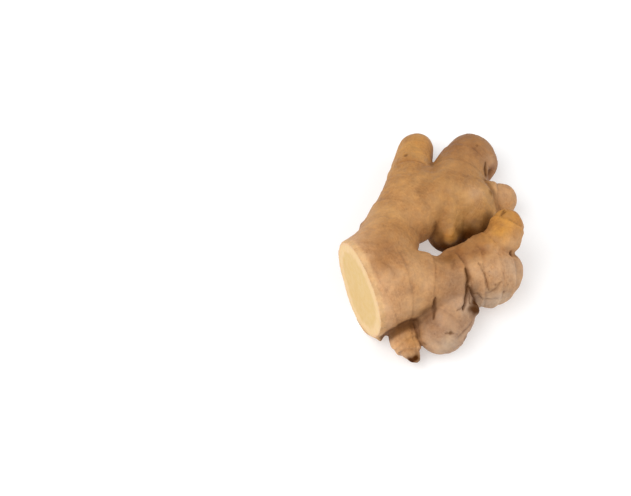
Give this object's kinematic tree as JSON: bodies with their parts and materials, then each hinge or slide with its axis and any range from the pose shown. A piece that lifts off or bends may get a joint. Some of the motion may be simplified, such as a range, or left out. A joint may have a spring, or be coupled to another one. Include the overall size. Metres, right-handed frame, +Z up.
{
  "type": "ginger root",
  "caption": "Lobed ginger root lying on its side: a thick body cut across at one end, with rounded fingers, leaf rings and root scars.",
  "frame": {"origin": "under the middle of the root's box, on the surface that the root lies on", "axes": "+Z up from that surface, +Y along the root's length towards the long finger's tip, +X from the knife cut towards the blunt end lobe"},
  "size_m": [0.079, 0.111, 0.0392],
  "materials": {
    "skin": "thin papery tan skin with a dull sheen, ringed and creased; the knife cut shows pale yellow moist flesh"
  },
  "bodies": {
    "root": {"ginger_root": "skin"}
  },
  "joints": []
}
